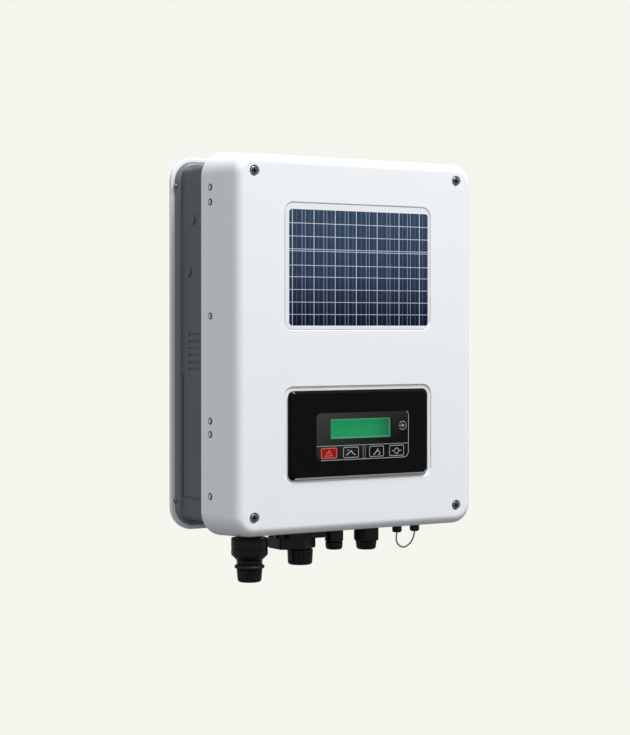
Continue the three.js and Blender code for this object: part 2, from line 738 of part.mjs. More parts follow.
makeWallBracket();
makeHangerRail();
makeRearFrame();
makeRearPanel();
makePanelScrews();
makeHeatsink();
makeChassisTray();
makeCoverSeal();
makeConnectorPlate();
makeFrontCover();
makeCoverScrews();
makeGuideStrips();
makeBadge();
makeDisplayPanel();
makeDisplayElectronics();
makeBoards();
makeBoardParts();
makeRibbonCable();
makeMainsConnector();
makePort();
makeGland("small", smallGlandX, 8.7, 20, -184.6, -191.6, [8.2, 7.6], 6);
makeGland("large", largeGlandX, 13.1, 6, -185.6, -193.7, [10, 9], 8);
lockNut("small_gland_lock_nut", smallGlandX, 19, 6.4);
lockNut("large_gland_lock_nut", largeGlandX, 24, 8.4);
makeLink();

export default inverter;
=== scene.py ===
import math

import bmesh
import bpy
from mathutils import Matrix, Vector


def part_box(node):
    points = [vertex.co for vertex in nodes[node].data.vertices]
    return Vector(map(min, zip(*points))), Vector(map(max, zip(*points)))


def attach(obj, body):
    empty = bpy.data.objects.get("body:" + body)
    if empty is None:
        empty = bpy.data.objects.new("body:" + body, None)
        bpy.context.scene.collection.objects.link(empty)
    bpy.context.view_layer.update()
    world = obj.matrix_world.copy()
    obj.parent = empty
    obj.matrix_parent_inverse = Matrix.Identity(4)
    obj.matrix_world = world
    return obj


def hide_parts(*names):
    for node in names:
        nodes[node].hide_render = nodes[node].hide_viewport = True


# A wall-hung string inverter, built outwards from the wall: bracket, rear panel, finned neck,
# chassis and electronics, the connectors below, then the front cover with its badge and display.
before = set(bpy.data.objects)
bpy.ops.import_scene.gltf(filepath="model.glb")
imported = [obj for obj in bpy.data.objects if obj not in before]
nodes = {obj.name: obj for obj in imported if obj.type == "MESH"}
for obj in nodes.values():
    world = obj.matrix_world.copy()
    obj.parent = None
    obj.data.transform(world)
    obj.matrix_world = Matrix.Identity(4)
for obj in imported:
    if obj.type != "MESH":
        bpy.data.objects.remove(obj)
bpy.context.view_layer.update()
scene = bpy.context.scene
MM = 0.001


# ---- Camera ------------------------------------------------------------------------------
# A level camera to the front left, a little above the middle of the casing.
camera_data = bpy.data.cameras.new("camera")
camera_data.lens = 89.14
camera_data.shift_y = -0.0551
camera = bpy.data.objects.new("camera", camera_data)
camera.location = (-0.9341, -1.5145, 0.0155)
camera.rotation_euler = (math.radians(90), 0, math.radians(-32.42))
scene.collection.objects.link(camera)
scene.camera = camera


# ---- Wire link -----------------------------------------------------------------------------
# A short loop of tinned copper wire, 1.5 mm thick, bent by hand between the two small bushes
# under the casing. Tinning leaves it dull silver with slightly uneven gloss.
def colour(code):
    channels = [int(code[i:i + 2], 16) / 255 for i in (1, 3, 5)]
    linear = [c / 12.92 if c <= 0.04045 else ((c + 0.055) / 1.055) ** 2.4 for c in channels]
    return (*linear, 1.0)


def node(tree, kind, values=None, **settings):
    """Adds one node; a value that is another node's socket becomes a link."""
    made = tree.nodes.new("ShaderNode" + kind)
    for name, value in settings.items():
        setattr(made, name, value)
    for key, value in (values or {}).items():
        if isinstance(value, bpy.types.NodeSocket):
            tree.links.new(value, made.inputs[key])
        else:
            made.inputs[key].default_value = value
    return made


def new_tree(name):
    material = bpy.data.materials.new(name)
    material.use_nodes = True
    material.node_tree.nodes.clear()
    return material, material.node_tree


def surface(name, code, roughness, metallic=0.0, grain=0.6, relief=0.02, mottle=0.05, **sockets):
    """A material whose tone, gloss and relief vary with a noise of the given grain in mm."""
    material, tree = new_tree(name)
    place = node(tree, "TexCoord").outputs["Object"]
    fine = node(tree, "TexNoise", {"Vector": place, "Scale": 1 / (grain * MM), "Detail": 3.0})
    broad = node(tree, "TexNoise", {"Vector": place, "Scale": 1 / (38 * MM), "Detail": 2.0})
    tone = node(tree, "MapRange", {"Value": broad.outputs[0], "To Min": 1 - mottle, "To Max": 1 + mottle})
    base = node(tree, "VectorMath", {0: colour(code)[:3], "Scale": tone.outputs[0]}, operation="SCALE")
    gloss = node(tree, "MapRange", {"Value": fine.outputs[0], "To Min": roughness * 0.9,
                                    "To Max": min(roughness * 1.12, 1)})
    bump = node(tree, "Bump", {"Height": fine.outputs[0], "Strength": 0.5, "Distance": relief * MM})
    shader = node(tree, "BsdfPrincipled", {
        "Base Color": base.outputs[0], "Roughness": gloss.outputs[0], "Metallic": metallic,
        "Normal": bump.outputs[0], **{key.replace("_", " "): value for key, value in sockets.items()}})
    node(tree, "OutputMaterial", {"Surface": shader.outputs[0]})
    return material


wire_radius = 0.75
bush_x = (62.9, 83.4)
wire_top = -180.5
connector_y = -90.5
tinned_copper = surface("tinned copper wire", "#8f918f", 0.34, 1.0, grain=0.5, relief=0.03)
# Steps across and down from the left bush, the way the loop bulges and swings to the right.
sag = [(-0.7, -3.9), (-0.5, -7.9), (1.6, -11.5), (4.4, -13.5), (7.5, -14.4), (11.3, -13.6), (15.2, -11.1),
       (18.1, -7.7), (19.9, -3.7)]
wire_points = [(bush_x[0], 0), *[(bush_x[0] + across, drop) for across, drop in sag], (bush_x[1], 0)]
wire_curve = bpy.data.curves.new("wire_link", "CURVE")
wire_curve.dimensions = "3D"
wire_curve.bevel_depth = wire_radius * MM
wire_curve.bevel_resolution = 5
wire_curve.use_fill_caps = True
wire_spline = wire_curve.splines.new("BEZIER")
wire_spline.bezier_points.add(len(wire_points) - 1)
for point, (x, drop) in zip(wire_spline.bezier_points, wire_points):
    point.co = (x * MM, connector_y * MM, (wire_top + drop) * MM)
    point.handle_left_type = point.handle_right_type = "AUTO"
wire_spline.resolution_u = 10
wire_link = bpy.data.objects.new("wire_link", wire_curve)
scene.collection.objects.link(wire_link)
wire_curve.materials.append(tinned_copper)
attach(wire_link, "casing")
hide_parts("link_wire")


# ---- Wall bracket and hanger rail --------------------------------------------------------
# Folded sheet steel, 1.5 mm thick, zinc plated after folding: pale grey, faintly spangled.
# The rail is riveted to the back of the casing and drops behind the bracket's upturned lip.
def soften(name, material, width=0.4, angle=35):
    """Rounds the hard edges of a carried-over node and gives it its material."""
    piece = nodes[name]
    weld = piece.modifiers.new("weld", "WELD")
    weld.merge_threshold = 1e-6
    bevel = piece.modifiers.new("edges", "BEVEL")
    bevel.width = width * MM
    bevel.segments = 3
    bevel.limit_method = "ANGLE"
    bevel.angle_limit = math.radians(angle)
    bevel.harden_normals = True
    piece.data.materials.clear()
    piece.data.materials.append(material)
    return piece


zinc_plate = surface("zinc plated sheet steel", "#b4b7ba", 0.36, 1.0, grain=2.2, relief=0.03, mottle=0.12)
soften("wall_bracket", zinc_plate)
soften("hanger_rail", zinc_plate)


# ---- Rear frame --------------------------------------------------------------------------
# A flat trim frame of pressed steel, 3.5 mm deep, next to the wall; powder coated light grey-white
# like the cover, with a fine orange peel. Four bent tabs take the side screws of the dark pan.
def rounded_outline(width, height, radius, steps=12):
    points = []
    for corner, (sign_x, sign_z) in enumerate([(1, 1), (-1, 1), (-1, -1), (1, -1)]):
        for step in range(steps + 1):
            angle = (corner + step / steps) * math.pi / 2
            points.append((sign_x * (width / 2 - radius) + radius * math.cos(angle),
                           sign_z * (height / 2 - radius) + radius * math.sin(angle)))
    return points


def circle_outline(radius, steps=48):
    return [(radius * math.cos(2 * math.pi * i / steps), radius * math.sin(2 * math.pi * i / steps))
            for i in range(steps)]


def ring(bm, outline, y, x=0.0, z=0.0):
    """A closed loop of vertices across the depth, from an outline in X and Z, in mm."""
    return [bm.verts.new(((px + x) * MM, y * MM, (pz + z) * MM)) for px, pz in outline]


def bridge(bm, rings):
    """Quads between each ring and the next; the rings all have the same count."""
    for low, high in zip(rings, rings[1:]):
        for i in range(len(low)):
            j = (i + 1) % len(low)
            bm.faces.new((low[i], low[j], high[j], high[i]))


def fill(bm, *loops):
    """A flat face inside the first loop and round the others."""
    edges = []
    for loop in loops:
        for i, vert in enumerate(loop):
            pair = (vert, loop[(i + 1) % len(loop)])
            edges.append(bm.edges.get(pair) or bm.edges.new(pair))
    bmesh.ops.triangle_fill(bm, use_beauty=True, edges=edges)


def close_stack(bm, rings):
    """A solid from a stack of rings, a flat face over each end."""
    bridge(bm, rings)
    fill(bm, rings[0])
    fill(bm, rings[-1])


def make_piece(name, bm, body, material, replaced=(), angle=32, weighted=True):
    """Turns a bmesh into a shaded piece that rides on a body and stands for its nodes."""
    bmesh.ops.remove_doubles(bm, verts=bm.verts, dist=1e-7)
    bmesh.ops.recalc_face_normals(bm, faces=bm.faces)
    mesh = bpy.data.meshes.new(name)
    bm.to_mesh(mesh)
    bm.free()
    mesh.polygons.foreach_set("use_smooth", [True] * len(mesh.polygons))
    mesh.set_sharp_from_angle(angle=math.radians(angle))
    piece = bpy.data.objects.new(name, mesh)
    scene.collection.objects.link(piece)
    mesh.materials.append(material)
    if weighted:
        normals = piece.modifiers.new("normals", "WEIGHTED_NORMAL")
        normals.keep_sharp = True
        normals.weight = 60
    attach(piece, body)
    if replaced:
        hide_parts(*replaced)
    return piece


def box_size(name):
    """A node's lowest and highest corners in mm."""
    low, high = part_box(name)
    return [v / MM for v in low], [v / MM for v in high]


def pan_levels(rear, front, taper, fillet, steps=10):
    """Depth and inset of each ring of a pan whose front edge is rounded."""
    levels = [(rear, 0.0)]
    for step in range(steps + 1):
        angle = step / steps * math.pi / 2
        levels.append((front + fillet * (1 - math.sin(angle)), taper + fillet * (1 - math.cos(angle))))
    return levels


def pan_rings(bm, levels, width, height, radius, wall=0.0, lowering=0.0):
    """Rings of a pan; lowering takes some of the inset off its underside."""
    rings = []
    for y, inset in levels:
        lower = lowering if inset else 0.0
        outline = rounded_outline(width - 2 * (inset + wall), height - 2 * (inset + wall) + lower,
                                  max(radius - inset - wall, 1.5))
        rings.append(ring(bm, outline, y, 0, -lower / 2))
    return rings


corner_radius = 23
frame_low, frame_high = box_size("rear_frame")
body_width = frame_high[0] - frame_low[0]
body_height = frame_high[2] - frame_low[2]
rear_trim = {"rear": -1.5, "front": -5, "fillet": 1.5, "opening": 10}
rear_tab = {"x": 126.5, "y": -6.85, "z": 142.25, "size": (3, 4.7, 12.5)}
white_coat = surface("satin powder coated steel, white", "#f4f7f9", 0.36, grain=1.1, relief=0.012,
                     mottle=0.008)


def rounded_block(bm, centre, size, radius=0.4):
    """A block lying across the depth whose edges are all eased."""
    x, y, z = centre
    width, depth, height = size
    levels = [(y + depth / 2, radius), (y + depth / 2 - radius, 0), (y - depth / 2 + radius, 0),
              (y - depth / 2, radius)]
    rings = [ring(bm, rounded_outline(width - 2 * inset, height - 2 * inset, radius, 3), level, x, z)
             for level, inset in levels]
    close_stack(bm, rings)


bm = bmesh.new()
opening = rear_trim["opening"]
levels = [(rear_trim["rear"], opening), (rear_trim["rear"], 0.3), (rear_trim["rear"] - 0.3, 0)]
levels += pan_levels(rear_trim["rear"] - 0.3, rear_trim["front"], 0, rear_trim["fillet"])[1:]
levels += [(rear_trim["front"], opening - 0.4), (rear_trim["front"] + 0.4, opening)]
rings = pan_rings(bm, levels, body_width, body_height, corner_radius)
bridge(bm, rings + rings[:1])
for sign_x in (-1, 1):
    for sign_z in (-1, 1):
        rounded_block(bm, (sign_x * rear_tab["x"], rear_tab["y"], sign_z * rear_tab["z"]), rear_tab["size"])
make_piece("rear_trim_frame", bm, "casing", white_coat, ["rear_frame"])


# ---- Rear panel --------------------------------------------------------------------------
# A pressed steel pan, 1.5 mm thick, its edges turned back towards the wall inside the white
# frame; powder coated the same dark grey as the casting it closes.
sheet_steel = 1.5
panel_low, panel_high = box_size("rear_panel")
panel_fillet = 4.5
dark_coat = surface("satin powder coated steel, dark grey", "#72777b", 0.46, grain=1.1, relief=0.02,
                    mottle=0.02)
bm = bmesh.new()
pan_size = (panel_high[0] - panel_low[0], panel_high[2] - panel_low[2], corner_radius - 4)
outer = pan_rings(bm, pan_levels(panel_high[1], panel_low[1], 0, panel_fillet), *pan_size)
inner = pan_rings(bm, pan_levels(panel_high[1], panel_low[1] + sheet_steel, 0, panel_fillet - sheet_steel),
                  *pan_size, sheet_steel)
bridge(bm, outer)
bridge(bm, inner)
fill(bm, outer[-1])
fill(bm, inner[-1])
bridge(bm, [outer[0], inner[0]])
make_piece("rear_panel_shell", bm, "casing", dark_coat, ["rear_panel"])


# ---- Panel screws ------------------------------------------------------------------------
# Small pan-head steel screws with a cross recess, zinc plated, driven into the turned-back edge
# of the pan from the sides, two on each side.
def turned(bm, profile, sides=48, x=0.0, y=0.0, z=0.0, ribs=0, rib_depth=0.0, rib_span=None):
    """A turned solid on an upright axis from [radius, height] points, its ends on the axis.
    Ribs are grooves cut round the part of the profile inside rib_span."""
    rings = []
    for radius, height in profile:
        if radius == 0:
            rings.append([bm.verts.new((x * MM, y * MM, (z + height) * MM))])
            continue
        made = []
        for i in range(sides):
            turn = 2 * math.pi * i / sides
            ribbed = ribs and rib_span[0] <= height <= rib_span[1]
            groove = rib_depth * max(0.0, math.cos(ribs * turn)) ** 0.5 if ribbed else 0.0
            made.append(bm.verts.new(((x + (radius - groove) * math.cos(turn)) * MM,
                                      (y + (radius - groove) * math.sin(turn)) * MM, (z + height) * MM)))
        rings.append(made)
    for low, high in zip(rings, rings[1:]):
        for i in range(sides):
            j = (i + 1) % sides
            if len(low) == 1:
                bm.faces.new((low[0], high[i], high[j]))
            elif len(high) == 1:
                bm.faces.new((low[i], low[j], high[0]))
            else:
                bm.faces.new((low[i], low[j], high[j], high[i]))
    return rings


def arc(centre_radius, centre_height, radius, start, end, steps=6):
    """Profile points along an arc, its angles in degrees from the outward direction."""
    points = []
    for step in range(steps + 1):
        angle = math.radians(start + (end - start) * step / steps)
        points.append((centre_radius + radius * math.cos(angle), centre_height + radius * math.sin(angle)))
    return points


recess_arms = 4


def star_recess(bm, inner_radius, outer_radius, top, floor, steps=4):
    """Rings of a star-shaped driver recess that go down from top to floor."""
    outline = []
    count = recess_arms * 2 * steps
    for i in range(count):
        turn = 2 * math.pi * i / count
        swing = 0.5 + 0.5 * math.cos(recess_arms * turn)
        radius = inner_radius + (outer_radius - inner_radius) * swing
        outline.append((radius * math.cos(turn), radius * math.sin(turn)))
    rings = []
    for height, scale in ((top, 1.0), (floor, 0.92)):
        rings.append([bm.verts.new((px * scale * MM, py * scale * MM, height * MM)) for px, py in outline])
    bridge(bm, rings)
    bmesh.ops.contextual_create(bm, geom=rings[1])
    return rings[0]


def screw_mesh(head_radius, head_height, shank_radius, shank_length):
    """A pan-head screw on an upright axis, its head up and a star recess in it."""
    bm = bmesh.new()
    crown = head_radius * 0.72
    steps = recess_arms * 8
    profile = [(0, -shank_length), (shank_radius * 0.7, -shank_length), (shank_radius, -shank_length + 0.6),
               (shank_radius, 0), (head_radius, 0)]
    profile += arc(head_radius - head_height * 0.8, head_height * 0.2, head_height * 0.8, 0, 80)
    rings = turned(bm, profile, sides=steps)
    rim = rings[-1]
    top = head_height
    lip = [bm.verts.new((crown * math.cos(2 * math.pi * i / steps) * MM,
                         crown * math.sin(2 * math.pi * i / steps) * MM, top * MM)) for i in range(steps)]
    bridge(bm, [rim, lip])
    recess = star_recess(bm, crown * 0.3, crown * 0.92, top, top * 0.1)
    bridge(bm, [lip, recess])
    return bm


def paint_recess_shade(bm, reach, low, high):
    """Gives the faces near the axis, between two heights in mm, the piece's second material, the painted
    shade of the driver recess.
    """
    for face in bm.faces:
        centre = face.calc_center_median() / MM
        if low < centre.z < high and math.hypot(centre.x, centre.y) < reach:
            face.material_index = 1


screw_zinc = surface("zinc plated screw steel", "#85888b", 0.34, 1.0, grain=0.5, relief=0.02, mottle=0.1)
# The driver recess is coloured near-black: painted shade standing for the shadow inside the cross recess.
recess_shade_paint = surface("painted shade in the driver recess", "#101112", 0.5, 0.6, grain=0.5, relief=0.02)


def corner_screws(name, reach, facing, sizes, body, replaced):
    """Four screws, one in each corner; facing says which way their heads look, out along X or Y."""
    for side, sign_x in (("left", -1), ("right", 1)):
        for level, sign_z in (("top", 1), ("bottom", -1)):
            bm = screw_mesh(*sizes)
            paint_recess_shade(bm, sizes[0] * 0.7, 0, sizes[1] * 0.9)
            turn = Vector((facing[0] * sign_x, facing[1], 0)).to_track_quat("Z", "Y")
            spot = Vector((reach[0] * sign_x, reach[1], reach[2] * sign_z))
            for vert in bm.verts:
                vert.co = turn @ vert.co + spot * MM
            piece = make_piece(f"{name}_{level}_{side}", bm, body, screw_zinc,
                               [f"{replaced}_{level}_{side}"], angle=28)
            piece.data.materials.append(recess_shade_paint)


screw_stand_off = 0.3
corner_screws("rim_screw", (panel_high[0] + screw_stand_off, -7.4, 147), (1, 0), (2.1, 1.2, 1.1, 5), "casing",
              "panel_screw")


# ---- Heatsink neck -----------------------------------------------------------------------
# Die-cast aluminium, base and upright fins in one casting, shot blasted and painted dark grey.
# The blasted skin under thin paint stays slightly grainy.
cast_paint = surface("painted die-cast aluminium, dark grey", "#5f6468", 0.52, grain=0.9, relief=0.05,
                     mottle=0.06, Specular_IOR_Level=0.4)
soften("heatsink", cast_paint, width=0.5)


# ---- Chassis tray, connector plate, guide strips and cover seal --------------------------
# Zinc plated sheet for the tray and strips; the plate under the casing is powder coated white;
# the seal is a black foam-rubber ring lying round the heatsink's base.
seal_rubber = surface("closed-cell foam rubber, black", "#1a1b1c", 0.78, grain=0.7, relief=0.06)
soften("chassis_tray", zinc_plate)
soften("connector_plate", white_coat)
soften("guide_strip_left", zinc_plate)
soften("guide_strip_right", zinc_plate)
soften("cover_seal", seal_rubber, width=0.8)


# ---- Boards and electronics --------------------------------------------------------------
# Glass-epoxy boards under green solder mask, with plastic, copper and aluminium parts on them.
board_mask = surface("green solder mask on glass epoxy", "#1d5a39", 0.3, grain=1.6, relief=0.02, mottle=0.1)
black_part = surface("moulded epoxy, black", "#17181a", 0.42, grain=0.4, relief=0.02)
sleeve = surface("shrunk capacitor sleeve", "#232833", 0.25, grain=2, relief=0.02)
winding = surface("enamelled copper wire", "#b4663a", 0.3, 0.9, grain=1.4, relief=0.05)
relay_blue = surface("moulded nylon, blue", "#2a62a4", 0.35, grain=0.5, relief=0.01)
terminal_green = surface("moulded nylon, green", "#3f9150", 0.4, grain=0.5, relief=0.01)
for name in ("main_board", "control_board", "display_board"):
    soften(name, board_mask, width=0.2)
soften("power_module", black_part)
for name in ("link_capacitor_1", "link_capacitor_2", "link_capacitor_3", "link_capacitor_4", "transformer"):
    soften(name, sleeve, width=0.5)
for name in ("boost_choke", "output_choke", "filter_choke"):
    soften(name, winding, width=0.5)
for name in ("relay_1", "relay_2"):
    soften(name, relay_blue)
for name in ("ac_terminal", "dc_terminal"):
    soften(name, terminal_green)
ribbon_grey = surface("flat cable, PVC grey", "#a7a9ab", 0.45, grain=1.27, relief=0.08)
soften("ribbon_cable", ribbon_grey, width=0.15)
soften("display_bracket", zinc_plate)


# ---- Screen module and lamp guides -------------------------------------------------------
# A character display with a green backlight behind a pressed bezel, and four clear acrylic
# light guides. The backlight fades towards its far end and shows a paler rim round the glass.
def lines_mask(tree, value, positions, half_width, blur=0.12):
    """1 on thin lines across a coordinate in mm and 0 between them."""
    mask = None
    for position in positions:
        offset = node(tree, "Math", {0: value, 1: position}, operation="SUBTRACT")
        distance = node(tree, "Math", {0: offset.outputs[0]}, operation="ABSOLUTE")
        line = node(tree, "MapRange", {"Value": distance.outputs[0], "From Min": half_width - blur,
                                       "From Max": half_width + blur, "To Min": 1.0, "To Max": 0.0})
        mask = line.outputs[0] if mask is None else node(
            tree, "Math", {0: mask, 1: line.outputs[0]}, operation="MAXIMUM").outputs[0]
    return mask


def axes_in_mm(tree):
    place = node(tree, "VectorMath", {0: node(tree, "TexCoord").outputs["Object"], "Scale": 1 / MM},
                 operation="SCALE")
    return place.outputs[0], node(tree, "SeparateXYZ", {0: place.outputs[0]}).outputs


screen = {"width": 68, "height": 17.4, "x": 1.5, "z": -77.7, "fade": (16, 35)}
screen_sides = [screen["x"] - screen["width"] / 2, screen["x"] + screen["width"] / 2]
screen_levels = [screen["z"] - screen["height"] / 2, screen["z"] + screen["height"] / 2]
lcd_green, tree = new_tree("backlit liquid crystal, green")
place, (across, depth, up) = axes_in_mm(tree)
along = node(tree, "MapRange", {"Value": across, "From Min": screen["fade"][0],
                                "From Max": screen["fade"][1]})
glowing = node(tree, "Mix", {"Factor": along.outputs[0], 6: colour("#058c54"), 7: colour("#02653a")},
               data_type="RGBA")
rim = node(tree, "Math", {0: lines_mask(tree, across, screen_sides, 0.9, 0.3),
                          1: lines_mask(tree, up, screen_levels, 0.9, 0.3)}, operation="MAXIMUM")
pale_rim = node(tree, "Math", {0: rim.outputs[0], 1: 0.22}, operation="MULTIPLY")
lit = node(tree, "Mix", {"Factor": pale_rim.outputs[0], 6: glowing.outputs[2], 7: colour("#8fc3a4")},
           data_type="RGBA")
shader = node(tree, "BsdfPrincipled", {"Base Color": colour("#0d2f1d"), "Roughness": 0.35,
                                       "Specular IOR Level": 0.1, "Emission Color": lit.outputs[2],
                                       "Emission Strength": 0.92})
node(tree, "OutputMaterial", {"Surface": shader.outputs[0]})
soften("lcd_module", lcd_green, width=0.3)
lamp_clear = surface("moulded acrylic, clear", "#d8dcdc", 0.15, grain=3, relief=0.01)
for index in range(4):
    soften(f"status_lamp_{index + 1}", lamp_clear)


# ---- Connectors under the casing ---------------------------------------------------------
# Glass-filled nylon mouldings, black and satin: sockets and gland bodies screw through the
# connector plate, and ribbed nuts close round the cable on a rubber bush.
nylon = surface("glass-filled nylon, black", "#0c0c0c", 0.28, grain=0.35, relief=0.02, mottle=0.15,
                Specular_IOR_Level=0.3)
rubber = surface("moulded rubber, black", "#131313", 0.6, grain=0.6, relief=0.02)


def turned_nylon(name, profile, spot_x, body, replaced, **shape):
    bm = bmesh.new()
    turned(bm, profile, x=spot_x, y=connector_y, **shape)
    make_piece(name, bm, body, nylon, [replaced])


ac_x = -100
turned_nylon("mains_socket", [
    (0, -187), (11, -187), (11.6, -186.4), (11.6, -176.4), (16.5, -176.4), (16.7, -176.2), (16.7, -175.7),
    (16.4, -175.4), (9.8, -175.4), (9.8, -170.8), (8, -170.8), (8, -160.1), (7.4, -159.5), (0, -159.5)],
    ac_x, "casing", "ac_socket", sides=72)
turned_nylon("mains_plug", [
    (0, -209), (7.7, -209), (8.3, -208.4), (8.3, -202), (10.6, -202), (10.9, -201.7), (10.9, -200.2),
    (11.8, -199), (11.8, -198.3), (11.2, -198), (11.2, -197.4), (11.8, -197.1), (11.8, -195.4),
    (16.2, -191), (16.7, -190.2), (16.7, -185.4), (16.3, -185.1), (16.3, -184.5), (16.7, -184.2),
    (16.7, -176.95), (16.5, -176.7), (12.2, -176.7), (12.2, -187.4), (0, -187.4)],
    ac_x, "ac_plug", "ac_plug_shell", sides=72)
bm = bmesh.new()
bead = [(11.2, -202.2), *arc(12.1, -201.4, 1.6, -80, 80, 10), (11.2, -200.3)]
bead_rings = turned(bm, bead, x=ac_x, y=connector_y, sides=72)
bridge(bm, [bead_rings[-1], bead_rings[0]])
make_piece("plug_bead", bm, "ac_plug", rubber, ["ac_plug_seal"])


def nut_profile(bottom, top, bottom_radius, top_radius, bore, bore_floor):
    """A tapered clamping nut with a rounded lower edge and a shallow blanking disc."""
    slope = (top_radius - bottom_radius) / (top - bottom)
    levels = [bottom + 1.6 + (top - bottom - 2.4) * step / 6 for step in range(7)]
    side = [(bottom_radius + slope * (level - bottom), level) for level in levels]
    return [(0, bottom + 1.2), (bottom_radius * 0.6, bottom + 1.2), (bottom_radius * 0.64, bottom + 0.3),
            (bottom_radius * 0.68, bottom), (bottom_radius - 1.4, bottom),
            (bottom_radius - 0.5, bottom + 0.5), (bottom_radius - 0.05, bottom + 1.3), *side,
            (top_radius - 0.1, top - 0.5), (top_radius - 0.5, top), (bore, top), (bore, bore_floor),
            (0, bore_floor)]


def clamp_nut(name, x, body, replaced, sizes, ribs, rib_depth=0.7):
    span = (sizes[0] + 1.5, sizes[1] - 0.7)
    turned_nylon(name, nut_profile(*sizes), x, body, replaced, sides=ribs * 8, ribs=ribs,
                 rib_depth=rib_depth, rib_span=span)


port_x = -46
small_x = -8.7
large_x = 27.4
clamp_nut("mains_plug_nut", ac_x, "ac_nut", "ac_plug_nut", (-215.1, -203.4, 10.7, 11.7, 8.6, -209.3), 20)
clamp_nut("port_screw_cap", port_x, "port_cap", "port_cap", (-202.9, -188.9, 11.2, 11.9, 8.7, -196.3), 20)
clamp_nut("small_nut", small_x, "small_nut", "small_gland_nut", (-191.6, -184.6, 7.6, 8.2, 5.88, -189.4), 16)
clamp_nut("large_nut", large_x, "large_nut", "large_gland_nut", (-193.7, -185.6, 9, 10, 7.1, -190.4), 18)


def prism(bm, outline, levels, x, y):
    """An upright prism through insets of one outline, capped at both ends."""
    rings = []
    for height, inset in levels:
        made = []
        for px, py in outline:
            reach = math.hypot(px, py)
            scale = (reach - inset) / reach
            made.append(bm.verts.new(((x + px * scale) * MM, (y + py * scale) * MM, height * MM)))
        rings.append(made)
    close_stack(bm, rings)


def polygon_outline(radius, sides, rounding=0.16, turn=0.0, steps=5):
    """A regular polygon with rounded corners; rounding is the share of each side that is curved."""
    corners = [Vector((radius * math.cos(turn + 2 * math.pi * i / sides),
                       radius * math.sin(turn + 2 * math.pi * i / sides))) for i in range(sides)]
    points = []
    for i, corner in enumerate(corners):
        before = corner.lerp(corners[i - 1], rounding)
        after = corner.lerp(corners[(i + 1) % sides], rounding)
        for step in range(steps + 1):
            t = step / steps
            point = before.lerp(corner, t).lerp(corner.lerp(after, t), t)
            points.append((point.x, point.y))
    return points


# The port's oblong flange has two lobes for its screws; its six-sided body sits behind the cap.
port_body = bmesh.new()
flange_bottom = -178.3
flange_outline = []
for centre, start in ((20, -90), (-20, 90)):
    for step in range(13):
        turn = math.radians(start + 15 * step)
        flange_outline.append((centre + 7 * math.cos(turn), 7 * math.sin(turn)))
prism(port_body, flange_outline, [(flange_bottom, 0.7), (flange_bottom + 0.7, 0), (-171.5, 0), (-170.8, 0.6)],
      port_x, connector_y)
prism(port_body, rounded_outline(40, 28, 3, 6), [(flange_bottom, 0.6), (flange_bottom + 0.6, 0), (-171.5, 0),
                                                 (-170.8, 0.6)], port_x, connector_y)
six = polygon_outline(22.4, 6, 0.07, turn=math.pi / 2)
prism(port_body, six, [(-188.3, 1.0), (-187.6, 0.2), (-187.2, 0), (-178.2, 0), (-177.6, 0.3)],
      port_x - 4.5, connector_y + 7.5)
turned(port_body, [(0, -196), (7.8, -196), (8.4, -195.4), (8.4, -188), (0, -188)], x=port_x, y=connector_y)
turned(port_body, [(0, -171.8), (11, -171.8), (11, -160), (10.4, -159.5), (0, -159.5)], x=port_x,
       y=connector_y)
make_piece("port_body", port_body, "casing", nylon, ["port_base"])


def gland_body(name, x, replaced, outline, nut_top, nut_radius, thread_radius):
    bm = bmesh.new()
    bottom = nut_top + 0.3
    prism(bm, outline, [(bottom, 0.9), (bottom + 0.7, 0.1), (bottom + 1.2, 0), (-171.4, 0), (-170.8, 0.5)],
          x, connector_y)
    stub = nut_radius * 0.68
    turned(bm, [(0, nut_top - 4.5), (stub - 0.5, nut_top - 4.5), (stub, nut_top - 4), (stub, nut_top + 1),
                (0, nut_top + 1)], x=x, y=connector_y)
    turned(bm, [(0, -171.8), (thread_radius, -171.8), (thread_radius, -161.1), (thread_radius - 0.6, -160.5),
                (0, -160.5)], x=x, y=connector_y)
    make_piece(name, bm, "casing", nylon, [replaced])


gland_body("small_gland", small_x, "small_gland_body", polygon_outline(8.7, 20, 0.3), -184.6, 8.2, 6)
gland_body("large_gland", large_x, "large_gland_body", polygon_outline(13.1, 6, 0.08), -185.6, 10, 8)
for name in ("small_gland_lock_nut", "large_gland_lock_nut"):
    soften(name, nylon)
for side, x in zip(("left", "right"), bush_x):
    turned_nylon(f"wire_bush_{side}", [
        (0, -180.2), (3.5, -180.2), (3.9, -179.9), (4.6, -179), (4.6, -171.2), (4.3, -170.8),
        (3, -170.8), (3, -163), (2.5, -162.5), (0, -162.5)], x, "casing", f"link_bush_{side}", sides=48)


# ---- Front cover -------------------------------------------------------------------------
# One drafted shell, pressed and powder coated white, with a broad rounded front edge. Two
# shallow recesses with soft edges hold the badge and the display, and a notch in the lower
# skirt lets the cover slide forwards past the connector plate.
cover_low, cover_high = box_size("front_cover")
cover_front = cover_low[1]
cover_rear = cover_high[1]
cover_draft = 4.2
cover_lowering = 1.2
front_fillet = 8.5
cover_wall = 2.5
recess_depth = 1.2
badge = {"width": 163, "height": 117, "x": 0.5, "z": 70.5, "radius": 10}
display_recess = {"width": 164, "height": 88, "x": 0.5, "z": -81.8, "radius": 10}
display_hole = {"width": 112, "height": 56, "x": 0.5, "z": -83.7, "radius": 4}
cover_screw = {"x": 111.7, "z": 154.7, "seat": 5, "depth": 2.49, "bore": 2.5, "sizes": (4.4, 2.1, 2.1, 21)}


